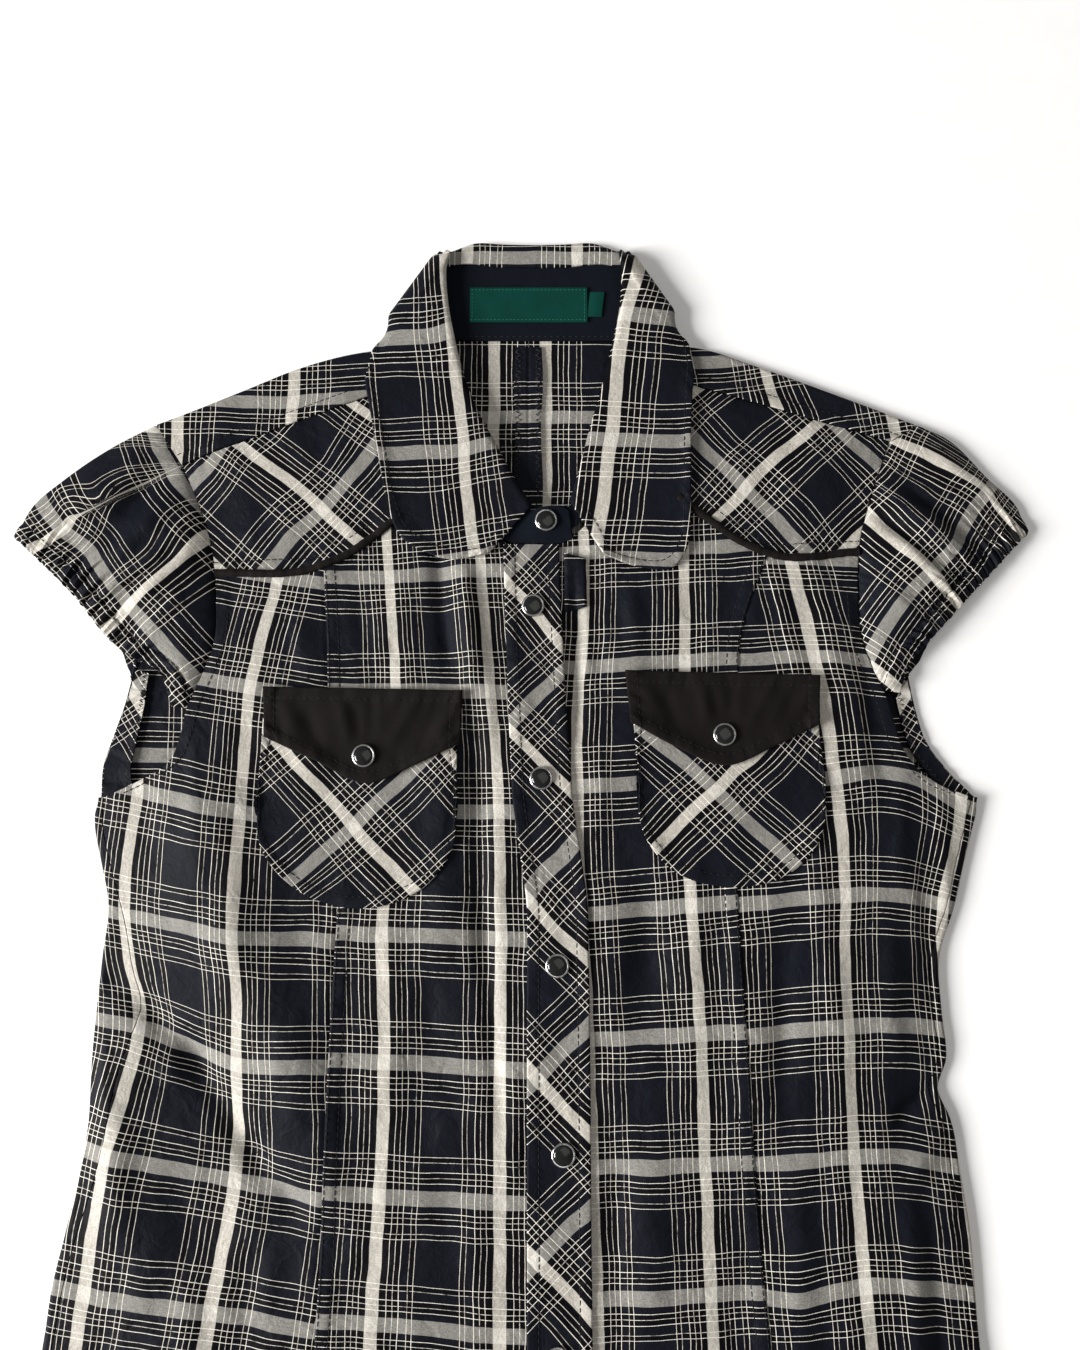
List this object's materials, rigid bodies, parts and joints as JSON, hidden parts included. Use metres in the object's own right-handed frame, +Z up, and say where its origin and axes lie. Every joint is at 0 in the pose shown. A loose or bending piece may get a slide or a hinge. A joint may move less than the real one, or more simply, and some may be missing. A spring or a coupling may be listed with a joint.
{
  "type": "cap-sleeve western snap-front shirt",
  "caption": "Women's plaid cap-sleeve shirt with a snap front, laid out flat with its front up: collar, yokes, flap pockets and puffed sleeves.",
  "frame": {"origin": "on the surface that the shirt lies on, under the middle of its bounding box", "axes": "+Z up from that surface, +Y towards the collar, wearer's right side at -X"},
  "size_m": [0.5116, 0.6286, 0.016],
  "materials": {
    "plaid": "matt yarn-dyed cotton plaid: navy and black with cream stripes and fine cream lines",
    "black_twill": "matt black cotton twill",
    "navy_cotton": "matt plain navy cotton",
    "green_label": "woven satin label, dark green and bare",
    "snap_cap": "dark pearl cap in a thin bright metal ring"
  },
  "bodies": {
    "root": {"back_right": "plaid", "back_left": "plaid", "centre_back_seam": "plaid", "side_front_right": "plaid", "side_front_left": "plaid", "centre_front_right": "plaid", "centre_front_left": "plaid", "front_yoke_right": "plaid", "front_yoke_left": "plaid", "placket": "plaid", "underlap_end": "plaid", "collar": "plaid", "sleeve_right": "plaid", "sleeve_left": "plaid", "pocket_right": "plaid", "pocket_left": "plaid", "piping_right": "black_twill", "piping_left": "black_twill", "pocket_flap_right": "black_twill", "pocket_flap_left": "black_twill", "collar_stand": "navy_cotton", "neck_label": "green_label", "snap_stand": "snap_cap", "snap_front_1": "snap_cap", "snap_front_2": "snap_cap", "snap_front_3": "snap_cap", "snap_front_4": "snap_cap", "snap_front_5": "snap_cap", "snap_pocket_right": "snap_cap", "snap_pocket_left": "snap_cap"}
  },
  "joints": []
}
